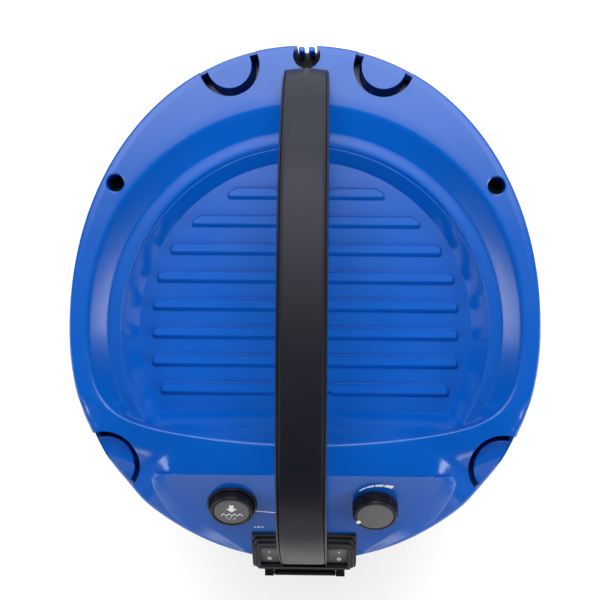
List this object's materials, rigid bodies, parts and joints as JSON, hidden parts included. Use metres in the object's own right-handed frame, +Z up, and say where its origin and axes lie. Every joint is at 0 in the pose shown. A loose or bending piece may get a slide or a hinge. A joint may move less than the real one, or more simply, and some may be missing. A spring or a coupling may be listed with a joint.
{
  "type": "shop vacuum",
  "caption": "Wet and dry shop vacuum with a round tank, an egg-shaped motor head, a carry handle, a filter-cleaning button, a power knob and rocker switches.",
  "frame": {"origin": "on the floor under the middle of the footprint", "axes": "+Z up, +Y to the rear, -Y to the control panel and hose port, +X to the power knob's side"},
  "size_m": [0.3786, 0.44, 0.5236],
  "materials": {
    "blue_cover": "moulded blue polypropylene, satin with a fine grain",
    "black_plastic": "moulded black plastic, satin",
    "grey_plastic": "moulded grey plastic, matt",
    "tank_plastic": "moulded dark plastic tank, fine grain",
    "bright_steel": "zinc-plated steel",
    "motor_metal": "pressed sheet steel",
    "motor_core": "laminated core with copper winding",
    "soft_rubber": "soft black rubber",
    "tyre_rubber": "dark grey rubber tread",
    "foam": "open-cell exhaust foam",
    "circuit_green": "glass-fibre circuit board",
    "filter_paper": "pleated filter paper",
    "float_white": "blow-moulded float ball"
  },
  "bodies": {
    "tank": {"tank": "tank_plastic", "hose_port": "black_plastic", "rim_seal": "soft_rubber", "base_plate": "black_plastic", "rear_axle": "bright_steel", "hub_cap_left": "black_plastic", "hub_cap_right": "black_plastic", "latch_pin_left": "bright_steel", "latch_pin_right": "bright_steel"},
    "head": {"head_cover": "blue_cover", "head_housing": "black_plastic", "handle_frame": "black_plastic", "handle_cap": "black_plastic", "button_ring": "black_plastic", "valve_guide": "black_plastic", "speed_control": "motor_metal", "switch_bezel": "black_plastic", "socket_housing": "black_plastic", "flap_pin": "bright_steel", "motor_seal": "soft_rubber", "fan_housing": "motor_metal", "motor_stator": "motor_core", "bearing_top": "bright_steel", "bearing_bottom": "bright_steel", "motor_frame": "motor_metal", "motor_mount": "soft_rubber", "exhaust_foam": "foam", "circuit_board": "circuit_green", "cord_gland": "soft_rubber", "float_cage": "black_plastic", "cover_screw_left": "bright_steel", "cover_screw_right": "bright_steel"},
    "filter_button": {"filter_button": "grey_plastic"},
    "power_knob": {"power_knob": "grey_plastic"},
    "rocker_left": {"rocker_left": "grey_plastic"},
    "rocker_right": {"rocker_right": "grey_plastic"},
    "socket_flap": {"socket_flap": "black_plastic"},
    "rotor": {"armature": "motor_core", "fan_impeller": "motor_metal"},
    "float_ball": {"float_ball": "float_white"},
    "filter": {"filter_pleats": "filter_paper", "filter_top_ring": "black_plastic", "filter_bottom_cap": "black_plastic"},
    "filter_nut": {"filter_nut": "grey_plastic"},
    "latch_left": {"latch_left": "black_plastic"},
    "rear_wheel_left": {"rear_tyre_left": "tyre_rubber", "rear_hub_left": "grey_plastic"},
    "castor_left": {"castor_fork_left": "bright_steel", "castor_axle_left": "bright_steel"},
    "castor_wheel_left": {"castor_wheel_left": "tyre_rubber"},
    "latch_right": {"latch_right": "black_plastic"},
    "rear_wheel_right": {"rear_tyre_right": "tyre_rubber", "rear_hub_right": "grey_plastic"},
    "castor_right": {"castor_fork_right": "bright_steel", "castor_axle_right": "bright_steel"},
    "castor_wheel_right": {"castor_wheel_right": "tyre_rubber"}
  },
  "joints": [
    {"name": "head_lift", "type": "slide", "parent": "tank", "child": "head", "axis": [0, 0, 1], "range_m": [0, 0.2]},
    {"name": "filter_button_press", "type": "slide", "parent": "head", "child": "filter_button", "axis": [0, 0.6947, -0.7193], "range_m": [0, 0.006], "stiffness_N_per_m": 400},
    {"name": "power_knob_turn", "type": "hinge", "parent": "head", "child": "power_knob", "pos_m": [0.0584, -0.1516, 0.39602], "axis": [0, -0.6947, 0.7193], "range_deg": [-270, 0]},
    {"name": "rocker_left_tilt", "type": "hinge", "parent": "head", "child": "rocker_left", "pos_m": [-0.0292, -0.19534, 0.35308], "axis": [1, 0, 0], "range_deg": [-16, 0]},
    {"name": "rocker_right_tilt", "type": "hinge", "parent": "head", "child": "rocker_right", "pos_m": [0.0292, -0.19534, 0.35308], "axis": [1, 0, 0], "range_deg": [-16, 0]},
    {"name": "socket_flap_swing", "type": "hinge", "parent": "head", "child": "socket_flap", "pos_m": [0, -0.21765, 0.3249], "axis": [1, 0, 0], "range_deg": [-95, 0], "stiffness_Nm_per_rad": 0.02, "springref_deg": 20.05},
    {"name": "rotor_spin", "type": "hinge", "parent": "head", "child": "rotor", "pos_m": [0, -0.007, 0.34], "axis": [0, 0, 1], "continuous": true},
    {"name": "float_rise", "type": "slide", "parent": "head", "child": "float_ball", "axis": [0, 0, 1], "range_m": [0, 0.0175]},
    {"name": "filter_drop", "type": "slide", "parent": "head", "child": "filter", "axis": [0, 0, -1], "range_m": [0, 0.078]},
    {"name": "filter_nut_turn", "type": "hinge", "parent": "filter", "child": "filter_nut", "pos_m": [0, -0.007, 0.1803], "axis": [0, 0, 1], "continuous": true},
    {"name": "latch_left_swing", "type": "hinge", "parent": "tank", "child": "latch_left", "pos_m": [-0.18525, -0.007, 0.2963], "axis": [0, -1, 0], "range_deg": [0, 50]},
    {"name": "rear_wheel_left_roll", "type": "hinge", "parent": "tank", "child": "rear_wheel_left", "pos_m": [-0.172, 0.09, 0.055], "axis": [1, 0, 0], "continuous": true},
    {"name": "castor_left_swivel", "type": "hinge", "parent": "tank", "child": "castor_left", "pos_m": [-0.092, -0.103, 0.062], "axis": [0, 0, 1], "continuous": true},
    {"name": "castor_wheel_left_roll", "type": "hinge", "parent": "castor_left", "child": "castor_wheel_left", "pos_m": [-0.092, -0.087, 0.025], "axis": [1, 0, 0], "continuous": true},
    {"name": "latch_right_swing", "type": "hinge", "parent": "tank", "child": "latch_right", "pos_m": [0.18525, -0.007, 0.2963], "axis": [0, 1, 0], "range_deg": [0, 50]},
    {"name": "rear_wheel_right_roll", "type": "hinge", "parent": "tank", "child": "rear_wheel_right", "pos_m": [0.172, 0.09, 0.055], "axis": [1, 0, 0], "continuous": true},
    {"name": "castor_right_swivel", "type": "hinge", "parent": "tank", "child": "castor_right", "pos_m": [0.092, -0.103, 0.062], "axis": [0, 0, 1], "continuous": true},
    {"name": "castor_wheel_right_roll", "type": "hinge", "parent": "castor_right", "child": "castor_wheel_right", "pos_m": [0.092, -0.087, 0.025], "axis": [1, 0, 0], "continuous": true}
  ]
}
